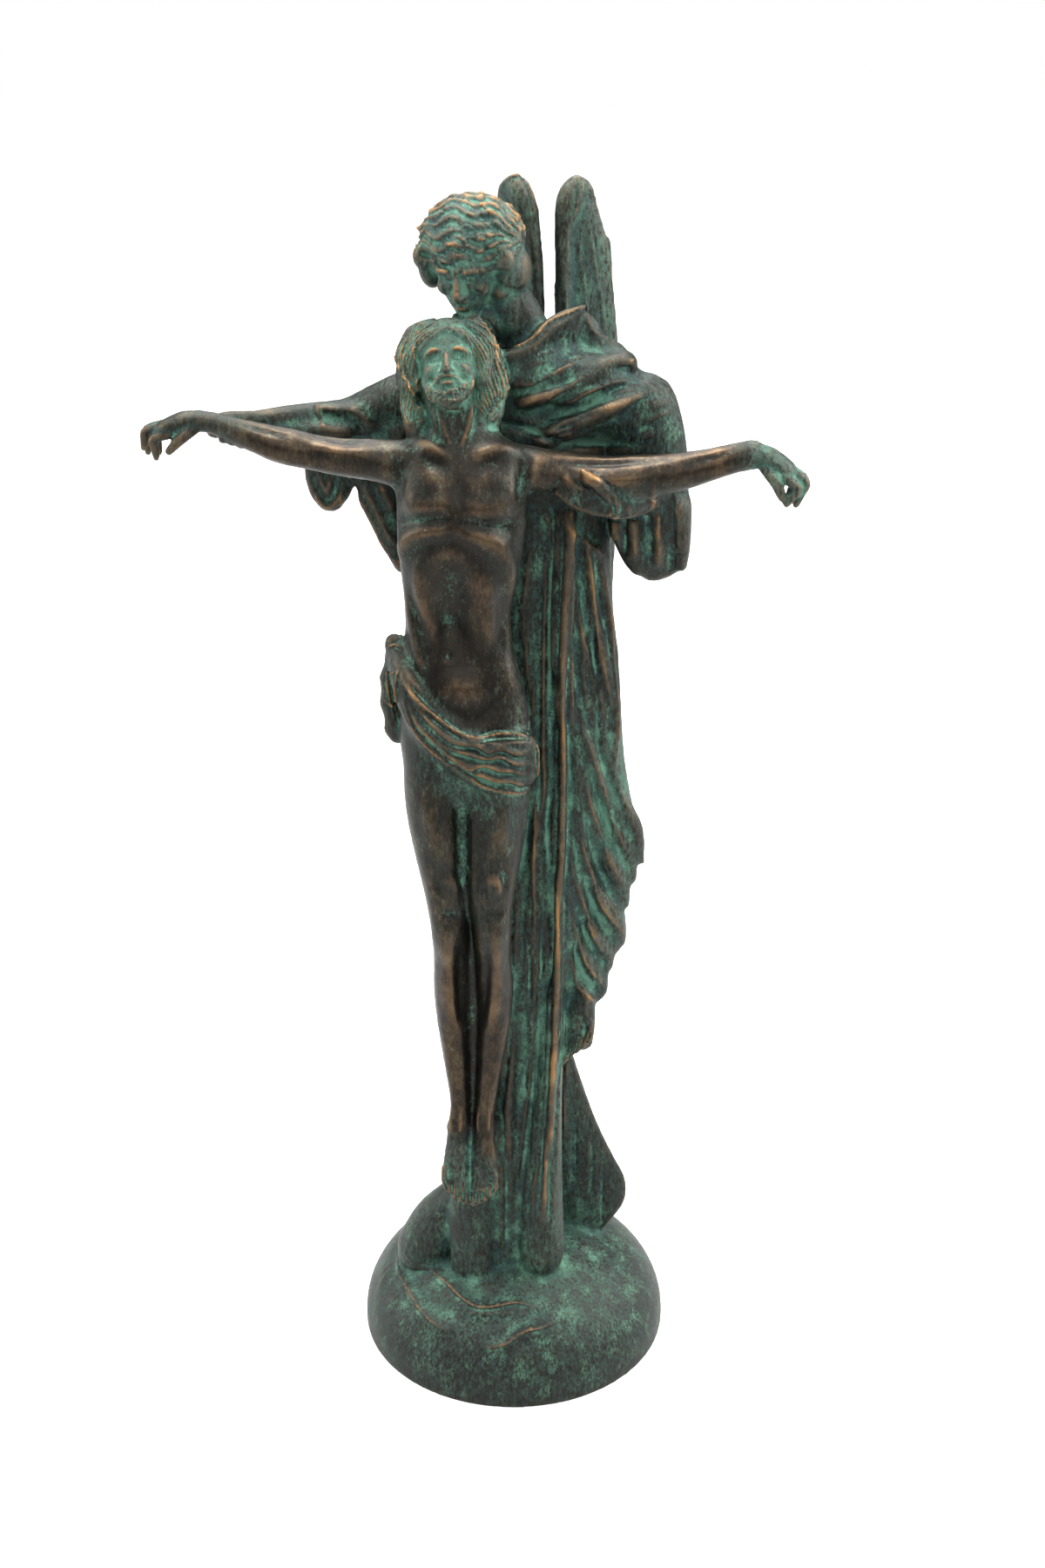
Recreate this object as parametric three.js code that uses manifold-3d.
// A cast bronze statuette: a winged angel in a long robe stands on a rounded mound and
// holds up a bearded man, whose arms are stretched out and whose feet hang clear.
// Millimetres, +Z up, seen from the front along +Y. The origin is the middle of the
// flat underside of the mound. The group and its mound are one casting, so one mesh.
import * as THREE from "three";
import { mergeVertices } from "three/addons/utils/BufferGeometryUtils.js";
import Module from "manifold-3d";

const wasm = await Module();
wasm.setup();

// Driving sizes: the mound, then heights on the man and the angel
const MOUND_RADIUS = 60.5;
const MOUND_TOP = 45.5;
const RIM_HEIGHT = 5.3;
const ANKLE = 112;
const KNEE = 198;
const HIP = 256;
const WAIST = 316;
const SHOULDER = 368;
const CROWN = 416;
const HEM = 150;
const WING_TIP = 229;
const WING_TOP = 450;
// The figures are modelled about an upright line of their own, on which these say how far
// back the middles of the two bodies and the wings lie. That line stands this far in
// front of the mound's middle.
const FIGURES_FORWARD = 10;
const MAN_Y = -22;
const ANGEL_Y = 9;
const WING_Y = 21;
const BRONZE = { color: 0x35493f, roughness: 0.55, metalness: 0.7 };

// A closed geometry with merged points as a solid that can be joined
function solidOfMerged(merged) {
  return new wasm.Manifold(
    new wasm.Mesh({
      numProp: 3,
      vertProperties: merged.attributes.position.array,
      triVerts: new Uint32Array(merged.index.array),
    }),
  );
}

// A three.js primitive, whose seams are still open, as a solid
function solidOf(geometry) {
  const bare = geometry.clone();
  bare.deleteAttribute("normal");
  bare.deleteAttribute("uv");
  return solidOfMerged(mergeVertices(bare, 1e-4));
}

// The geometry of a joined solid, which can be moved and joined again
function geometryOf(solid) {
  const made = solid.getMesh();
  const geometry = new THREE.BufferGeometry();
  geometry.setAttribute("position", new THREE.BufferAttribute(made.vertProperties, 3));
  geometry.setIndex(new THREE.BufferAttribute(made.triVerts, 1));
  return geometry;
}

const join = (pieces) => pieces.reduce((whole, piece) => whole.add(piece));

// A rounded limb, fold or roll: the rings of a sphere strung along a smooth path.
// Each station is [x, y, z, half width, half depth], and side is the way the width
// points. blunt rules how late the ends round off. swell adds ribs to the section.
function limb(stations, { sides = 8, steps = 8, side = [1, 0, 0], blunt = 6, swell = () => 1 } = {}) {
  const places = stations.map(([x, y, z]) => new THREE.Vector3(x, y, z));
  const path = new THREE.CatmullRomCurve3(places);
  const halves = stations.map(([, , , wide, deep]) => new THREE.Vector3(wide, deep ?? wide, 0));
  const sizes = new THREE.CatmullRomCurve3(halves);
  const geometry = new THREE.SphereGeometry(1, sides, steps);
  const position = geometry.attributes.position;
  const sideways = new THREE.Vector3(...side);
  for (let i = 0; i < position.count; i++) {
    const t = Math.acos(THREE.MathUtils.clamp(position.getY(i), -1, 1)) / Math.PI;
    const angle = Math.atan2(position.getZ(i), position.getX(i));
    const grow = Math.sqrt(Math.max(0, 1 - Math.abs(2 * t - 1) ** blunt)) * swell(angle, t);
    const size = sizes.getPoint(t);
    const tangent = path.getTangent(t);
    const deep = new THREE.Vector3().crossVectors(tangent, sideways).normalize();
    const wide = new THREE.Vector3().crossVectors(deep, tangent);
    const place = path.getPoint(t);
    place.addScaledVector(wide, Math.cos(angle) * size.x * grow);
    place.addScaledVector(deep, Math.sin(angle) * size.y * grow);
    position.setXYZ(i, place.x, place.y, place.z);
  }
  return solidOf(geometry);
}

// The directions of a head: up through the crown, and out of the face along -y
function headFrame(centre, up, face) {
  const z = new THREE.Vector3(...up).normalize();
  const x = new THREE.Vector3().crossVectors(new THREE.Vector3(...face), z).normalize();
  const y = new THREE.Vector3().crossVectors(z, x);
  return new THREE.Matrix4().makeBasis(x, y, z).setPosition(...centre);
}

// An egg-shaped lump, placed in a head's directions or in the statuette's own
function lump(centre, radii, { frame = new THREE.Matrix4(), sides = 8, steps = 6 } = {}) {
  const geometry = new THREE.SphereGeometry(1, sides, steps);
  geometry.rotateX(Math.PI / 2);
  geometry.scale(...radii);
  geometry.translate(...centre);
  geometry.applyMatrix4(frame);
  return solidOf(geometry);
}

// The height of the mound's dome above a point of its plan
function domeHeight(x, y) {
  const share = Math.min(1, Math.hypot(x, y) / MOUND_RADIUS);
  return RIM_HEIGHT + (MOUND_TOP - RIM_HEIGHT) * Math.sqrt(1 - share * share);
}

// The mound: a low rim, then a dome, with an outline that is a little uneven
function mound() {
  const rings = 6;
  const profile = [new THREE.Vector2(0, 0), new THREE.Vector2(MOUND_RADIUS, 0)];
  for (let i = 0; i <= rings; i++) {
    const radius = MOUND_RADIUS * Math.cos((i / rings) * (Math.PI / 2));
    profile.push(new THREE.Vector2(i < rings ? radius : 0, domeHeight(radius, 0)));
  }
  const geometry = new THREE.LatheGeometry(profile, 24);
  geometry.rotateX(Math.PI / 2);
  const position = geometry.attributes.position;
  for (let i = 0; i < position.count; i++) {
    const angle = Math.atan2(position.getY(i), position.getX(i));
    const uneven = 1 + 0.012 * Math.cos(2 * angle + 0.6) + 0.01 * Math.cos(3 * angle - 1.1);
    position.setX(i, position.getX(i) * uneven);
    position.setY(i, position.getY(i) * uneven);
  }
  return solidOf(geometry);
}

// The raised carving on the front of the mound, and the rock at the back on the left
function moundCarving() {
  const upper = [[-46, -1], [-38, -14], [-28, -28], [-20, -37], [-13, -41], [0, -41], [13, -43]];
  const middle = [[-46, -4], [-45, -13], [-41, -24], [-35, -36], [-28, -44]];
  const lower = [[-15, -52], [-5, -53], [4, -50], [11, -48], [17, -45]];
  const ridge = (plan, size) => {
    const stations = plan.map(([x, y]) => [x, y, domeHeight(x, y), size, 1.8]);
    return limb(stations, { sides: 5, steps: 7, side: [0, 0, 1], blunt: 3 });
  };
  const rock = lump([-29, -4, 46], [10, 11, 12], { sides: 7, steps: 5 });
  return join([ridge(upper, 2.2), ridge(middle, 1.9), ridge(lower, 1.7), rock]);
}

// The robe from the mound to the shoulders: narrow at the foot, wide at the waist,
// with folds that run down it
function robe() {
  const folds = (angle, t) => 1 + 0.05 * Math.cos(9 * angle + 3 * t) * Math.min(1, 2.5 * t);
  const stations = [
    [3, ANGEL_Y, 398, 26, 12],
    [3, ANGEL_Y, 372, 34, 15],
    [5, ANGEL_Y, 340, 31, 16],
    [10, ANGEL_Y, 300, 28, 17],
    [12, 6, 250, 28, 17],
    [10, 5, 210, 27, 17],
    [6, 3, 165, 22, 17],
    [1, 2, 125, 19, 17],
    [-1, 1, 90, 19, 17],
    [-2, 0, 62, 21, 18],
    [-1, 0, 36, 22, 18],
  ];
  return limb(stations, { sides: 24, steps: 14, blunt: 14, swell: folds });
}

// The strongest folds: two down the front, and the stump under the man's feet
function frontFolds() {
  const middle = [
    [18, -9, 344, 2.2, 4],
    [17.5, -12, 285, 2.6, 5],
    [17, -13, 225, 2.6, 5],
    [15, -16, 150, 3.2, 5],
    [11, -18, 100, 5, 6],
    [9, -17, 64, 8, 7],
    [10, -15, 44, 8, 8],
  ];
  const beside = [
    [9, -9, 340, 2, 4],
    [10, -12, 285, 2, 5],
    [8, -13, 180, 2, 5],
    [-1, -13, 70, 3, 5],
  ];
  const stump = [
    [-14, -8, 104, 6, 6],
    [-15, -15, 76, 9, 8],
    [-15, -15, 44, 9, 8],
  ];
  return join([
    limb(middle, { sides: 6, steps: 9 }),
    limb(beside, { sides: 5, steps: 7 }),
    limb(stump, { sides: 8, steps: 6 }),
  ]);
}

// The lower end of the cloak on the right: folds that fan out to a zigzag hem
function hemFan() {
  const folds = [
    [[32, 8, 325, 6, 9], [36, 7, 270, 6.5, 10], [43, 6, 210, 6.5, 8]],
    [[27, 2, 295, 6, 8], [33, 2, 240, 7, 9], [38.5, 3, 177, 7, 8]],
    [[22, -4, 262, 5, 6], [27, -3, 210, 6, 8], [31, 0, HEM, 6, 8]],
  ];
  return join(folds.map((fold) => limb(fold, { sides: 8, steps: 6, blunt: 9 })));
}

// The angel's bare foot under the hem, and the train that spreads over the mound
function footAndTrain() {
  const foot = [
    [23, 4, HEM + 20, 6, 8],
    [25, 1, HEM, 6.4, 7],
    [24, -3, HEM - 13, 7, 6],
    [21, -8, HEM - 24, 5.6, 3],
  ];
  const corners = [[8, 30], [14, 130], [24, 116], [34, 88], [45, 55], [44.5, 47], [38, 41], [30, 28]];
  const outline = new THREE.Shape(corners.map(([x, z]) => new THREE.Vector2(x, z)));
  const bevel = { bevelThickness: 1.5, bevelSize: 1, bevelSegments: 1 };
  const train = new THREE.ExtrudeGeometry(outline, { depth: 9, ...bevel });
  train.rotateX(Math.PI / 2);
  train.translate(0, 21, 0);
  return join([limb(foot, { sides: 8, steps: 7 }), solidOf(train)]);
}

// The man's trunk and neck
function manTrunk() {
  const trunk = [
    [-18, MAN_Y + 5, SHOULDER + 8, 15, 8],
    [-17, MAN_Y + 3, SHOULDER + 1, 22, 11],
    [-16.2, MAN_Y - 1, SHOULDER - 13, 22.4, 14.5],
    [-17.6, MAN_Y - 2, WAIST + 20, 21.2, 14.5],
    [-18.6, MAN_Y - 1, WAIST, 18.4, 12],
    [-17.8, MAN_Y, HIP + 32, 21, 13.4],
    [-16, MAN_Y, HIP + 9, 23.6, 15.6],
    [-16, MAN_Y, HIP - 12, 20, 12],
  ];
  const neck = [
    [-18, -17, 364, 8],
    [-18, -17, 380, 6.6],
    [-20, -13, 396, 7],
  ];
  return join([limb(trunk, { sides: 14, steps: 11, blunt: 9 }), limb(neck, { sides: 7, steps: 4 })]);
}

// The man's legs, side by side, with the feet pointing down
function manLegs() {
  const leg = (thigh, knee, shin, ankle) => {
    const stations = [
      [thigh, -23, HIP + 5, 11.6, 12.6],
      [thigh - 0.6, -25, HIP - 20, 11.4, 11.6],
      [(thigh + knee) / 2, -28.5, KNEE + 16, 8.8, 9.2],
      [knee, -29.5, KNEE, 6.8, 7.7],
      [shin, -26.5, KNEE - 16, 6.2, 7],
      [shin, -24.5, KNEE - 32, 6.4, 7.6],
      [(shin + ankle) / 2, -25, KNEE - 54, 5.2, 6],
      [ankle, -26.5, ANKLE + 12, 4.1, 4.4],
      [ankle, -27.5, ANKLE, 4.6, 4.8],
      [ankle, -32, ANKLE - 13, 5, 4.4],
      [ankle + 0.6, -38, ANKLE - 26, 5, 2.8],
      [ankle + 0.8, -40, ANKLE - 31, 4, 2.2],
    ];
    return limb(stations, { sides: 8, steps: 15 });
  };
  return join([leg(-26, -22.4, -22.2, -19.8), leg(-7, -7.8, -6.6, -10.9)]);
}

// The cloth round the man's hips, tied in a knot on his right hip
function loincloth() {
  const band = [
    [-38, -12, HIP + 41, 6, 4],
    [-38, -25, HIP + 29, 8.5, 4],
    [-29, -35.5, HIP + 15, 10.5, 4],
    [-14, -38, HIP + 6, 11.5, 4],
    [0, -35.5, HIP + 2, 12.5, 4],
    [8, -26, HIP + 2, 12.5, 4],
  ];
  const tail = [
    [-38, -17, HIP + 46, 3, 4],
    [-42, -15, HIP + 28, 4.6, 4],
    [-38.5, -15, HIP + 7, 4, 4],
  ];
  const ripple = (angle) => 1 + 0.12 * Math.cos(4 * angle);
  return join([
    limb(band, { sides: 10, steps: 8, side: [0, 0, 1], swell: ripple }),
    limb(tail, { sides: 6, steps: 6 }),
    lump([-36.5, -18, HIP + 45], [5, 5.4, 5.4], { sides: 6, steps: 5 }),
  ]);
}

// A drooping hand: a palm, four fingers and a thumb, spread along one direction
function hand(wrist, knuckles, tips, spread, thumbTip) {
  const palmWidth = 4.6;
  const between = (a, b) => a.map((value, i) => (value + b[i]) / 2);
  const palm = [
    [...wrist, 3.4, 2.8],
    [...between(wrist, knuckles), palmWidth, 2.9],
    [...knuckles, palmWidth, 2.4],
  ];
  const digit = (stations) => limb(stations, { sides: 4, steps: 4, side: spread });
  const fingers = [-1.5, -0.5, 0.5, 1.5].map((place) => {
    const aside = spread.map((value) => value * place * palmWidth);
    const shift = (point, share) => point.map((value, i) => value + aside[i] * share);
    const from = shift(between(between(wrist, knuckles), knuckles), 0.5);
    const bend = shift(between(knuckles, tips), 0.52);
    bend[2] += 1.4;
    return digit([[...from, 1.4], [...bend, 1.5], [...shift(tips, 0.46), 1.1]]);
  });
  const thumb = digit([[...between(wrist, knuckles), 1.8], [...thumbTip, 1.2]]);
  return join([limb(palm, { sides: 6, steps: 5, side: spread }), thumb, ...fingers]);
}

// The man's arms, stretched out to both sides and a little above level at the wrists
function manArms() {
  const right = [
    [-28, -18, SHOULDER - 2, 10, 9],
    [-40, -17, SHOULDER - 1.5, 8, 8.4],
    [-52, -16, SHOULDER - 0.5, 6.5],
    [-74, -16, SHOULDER + 3.2, 6.2],
    [-86, -16, SHOULDER + 7, 5.2],
    [-101, -16, SHOULDER + 12.4, 3.4],
  ];
  const left = [
    [-4, -18, SHOULDER - 3, 10, 9],
    [9, -17, SHOULDER - 4, 8.8, 8.6],
    [21, -16, SHOULDER - 5.8, 7.3],
    [36, -16, SHOULDER - 7.4, 7.9, 7],
    [58, -16, SHOULDER - 4.4, 6.3],
    [71, -16, SHOULDER - 1.8, 5.2],
    [85, -16, SHOULDER - 0.4, 4],
  ];
  const arm = (stations) => limb(stations, { sides: 8, steps: 9, side: [0, 0, 1] });
  return join([
    arm(right),
    hand([-96, -16, 379.5], [-111, -17, 380.5], [-118, -19, 372], [0.25, 0.95, 0.1], [-108, -23, 372.5]),
    arm(left),
    hand([80, -16, 367.6], [92.5, -17, 362.5], [96, -19, 351.5], [0.2, 0.96, 0.1], [87, -24, 357]),
  ]);
}

// The man's head, tipped back, with hair to the shoulders and a short beard
function manHead() {
  const frame = headFrame([-20.5, -15, CROWN - 14], [-0.06, 0.68, 0.73], [-0.05, -0.74, 0.67]);
  const locks = [
    [[-30, -13, 409, 4], [-34.2, -15, 399, 4.4, 5], [-33.6, -16, 388, 4, 5], [-30, -17, 376, 3.4, 4]],
    [[-11, -12, 409, 4], [-6.8, -14, 399, 4.4, 6], [-6, -14, 388, 4.4, 6], [-7, -15, 374, 3.6, 4]],
  ];
  return join([
    lump([0, 0, 1], [10.2, 12.6, 13.4], { frame, sides: 10, steps: 7 }),
    lump([0, 2.6, 2], [12.4, 13, 12.6], { frame, sides: 10, steps: 7 }),
    lump([0, -4.6, -7], [7.4, 7.4, 8], { frame, sides: 7, steps: 5 }),
    lump([0, -6, -12], [5.6, 5.4, 5.4], { frame, sides: 5, steps: 4 }),
    lump([0, -12, -1.4], [1.9, 3, 4], { frame, sides: 5, steps: 4 }),
    ...locks.map((lock) => limb(lock, { sides: 6, steps: 6 })),
  ]);
}

// The angel's bowed head on its long neck, with short waved hair
function angelHead() {
  const frame = headFrame([-10.5, 2, 430], [-0.2, -0.66, 0.72], [-0.25, -0.7, -0.67]);
  const neck = [
    [9, 8, 388, 12, 10],
    [4, 7, 403, 8.6],
    [-3, 5, 416, 8, 8.6],
    [-9, 4, 428, 8, 9],
  ];
  return join([
    limb(neck, { sides: 8, steps: 5 }),
    lump([0, 1, 1.5], [12.4, 15, 14.4], { frame, sides: 10, steps: 7 }),
    lump([0, 3.4, 4], [16, 15.4, 14], { frame, sides: 10, steps: 8 }),
    lump([0, -5.6, -8], [7.8, 7.6, 8.6], { frame, sides: 7, steps: 5 }),
    lump([0, -13.2, -2.6], [1.9, 2.8, 4], { frame, sides: 5, steps: 4 }),
  ]);
}

// The cloak over the shoulders, rolled across the left one up to a pointed collar
function cloak() {
  const rightShoulder = [
    [-6, 8, 389, 12],
    [-30, 8, 382, 10.5, 11],
    [-48, 8, 376.5, 8.4, 9],
    [-65, 7, 373.5, 6, 7],
  ];
  const leftShoulder = [
    [8, 8, 392, 11, 12],
    [26, 8, 385, 13.6, 13],
    [40, 7, 371, 16, 12.5],
    [48, 6, 351, 13.6, 10],
    [51, 5, 325, 9.4, 6],
  ];
  const rolls = [
    [[40, 9, 396, 4], [24, -1, 391, 4], [8, -4, 381, 3.4]],
    [[47, 6, 387, 4], [31, -3, 382, 4], [8, -6, 371, 3]],
    [[54, 3, 378, 3.6], [38, -5, 374, 3.4], [22, -6, 370, 3]],
    [[-6, 1, 397, 3, 4], [6, 0, 399, 3, 4], [17, 2, 406, 2.4, 3], [24, 5, 412, 1.2, 2]],
    [[24, 7, 408, 2.6, 3], [40, 10, 396, 3.4, 4]],
  ];
  const collar = [
    [20, 8, 390, 15, 9],
    [21, 8, 402, 9, 5],
    [23, 7, 410, 2, 2],
  ];
  const pleats = (angle, t) => 1 + 0.07 * Math.cos(8 * angle) * Math.max(0, 2 * t - 0.8);
  return join([
    limb(rightShoulder, { steps: 6, side: [0, 0, 1], blunt: 8 }),
    limb(leftShoulder, { sides: 16, steps: 9, blunt: 8, swell: pleats }),
    limb(collar, { steps: 5 }),
    ...rolls.map((roll) => limb(roll, { sides: 5, steps: 6, side: [0, 0, 1] })),
  ]);
}

// The cloth that hangs from the angel's right sleeve, behind the man's arm
function hangingSleeve() {
  const folds = [
    [[-62, 7, 372, 8, 5], [-64, 7, 357, 9.6, 5], [-62, 7, 340, 4.6, 3]],
    [[-50, 7, 372, 8, 6], [-49, 7, 350, 7, 5.4], [-41, 5, 317, 3, 4]],
    [[-38, 7, 366, 9, 7], [-37, 5, 342, 7, 6], [-33, 3, 322, 5, 5]],
  ];
  return join(folds.map((fold) => limb(fold, { sides: 7, steps: 6, blunt: 8 })));
}

// The angel's forearms and hands, which hold the man under his arms
function angelArms() {
  const right = [
    [-58, 7, 373.6, 5.4],
    [-74, 3, 373.4, 4.8],
    [-86, -2, 374, 3.8],
    [-97, -6, 374.6, 4],
  ];
  const left = [
    [56, 3, 352, 7],
    [44, -8, 349, 5.6],
    [36, -15, 349, 4.4],
    [26, -21, 354, 5, 3.4],
  ];
  const finger = (stations) => limb(stations, { sides: 4, steps: 4 });
  const underArm = (i) => {
    const x = -90 - 2.4 * i;
    return finger([[x, -6, 373.5, 1.6], [x + 1, -12, 369.5, 1.5], [x + 2, -17, 370, 1.2]]);
  };
  const onRibs = (i) => {
    const z = 351 + 2 * i;
    return finger([[30, -20.5, z, 1.8], [21, -23.5, z + 2, 1.6], [14, -23, z + 4, 1.2]]);
  };
  const thumb = [
    [33, -19, 355, 2],
    [27, -23.5, 361, 1.8],
    [23, -23.5, 365.5, 1.3],
  ];
  const forearm = (stations) => limb(stations, { sides: 7, steps: 6, side: [0, 0, 1] });
  return join([
    forearm(right),
    forearm(left),
    finger(thumb),
    ...[0, 1, 2, 3].map(underArm),
    ...[0, 1, 2, 3].map(onRibs),
  ]);
}

// A folded wing, upright behind the shoulder: a blade ribbed by its long feathers,
// with a thick rolled front edge. hand is 1 for the left wing and -1 for the right.
function wing(hand) {
  const middle = 13.4;
  const sweep = 0.35;
  const at = (out, z, wide, thick) => [middle + hand * out, WING_Y + sweep * out, z, wide, thick];
  const way = [1, hand * sweep, 0];
  const blade = [
    at(8, WING_TOP, 3, 2),
    at(10.6, WING_TOP - 10, 7, 3.4),
    at(11, WING_TOP - 28, 9.4, 4.4),
    at(12, WING_TOP - 60, 11, 5),
    at(13, WING_TOP - 125, 11.4, 5),
    at(14.4, WING_TIP + 42, 8.4, 4.4),
    at(16.5, WING_TIP, 2.4, 3),
  ];
  const edge = [
    at(8, WING_TOP - 2, 3, 3.4),
    at(4.6, WING_TOP - 13, 3.4, 5),
    at(4, WING_TOP - 60, 3.4, 5),
    at(5, WING_TOP - 115, 2.4, 4),
  ];
  const feathers = (angle) => 1 + 0.09 * Math.cos(6 * angle);
  return join([
    limb(blade, { sides: 14, steps: 10, side: way, blunt: 12, swell: feathers }),
    limb(edge, { sides: 6, steps: 6, side: way }),
  ]);
}

// The figures on their mound, all joined, as facets with a normal each
function casting() {
  const dress = [robe(), frontFolds(), hemFan(), footAndTrain()];
  const man = [manTrunk(), manLegs(), loincloth(), manArms(), manHead()];
  const angel = [angelHead(), cloak(), hangingSleeve(), angelArms(), wing(1), wing(-1)];
  const figures = geometryOf(join([...dress, ...man, ...angel]));
  figures.translate(0, -FIGURES_FORWARD, 0);
  const whole = join([mound(), moundCarving(), solidOfMerged(figures)]);
  const facets = geometryOf(whole).toNonIndexed();
  facets.computeVertexNormals();
  return facets;
}

const statuette = new THREE.Group();
const figure = new THREE.Mesh(casting(), new THREE.MeshStandardMaterial(BRONZE));
figure.name = "statuette";
statuette.add(figure);

export default statuette;
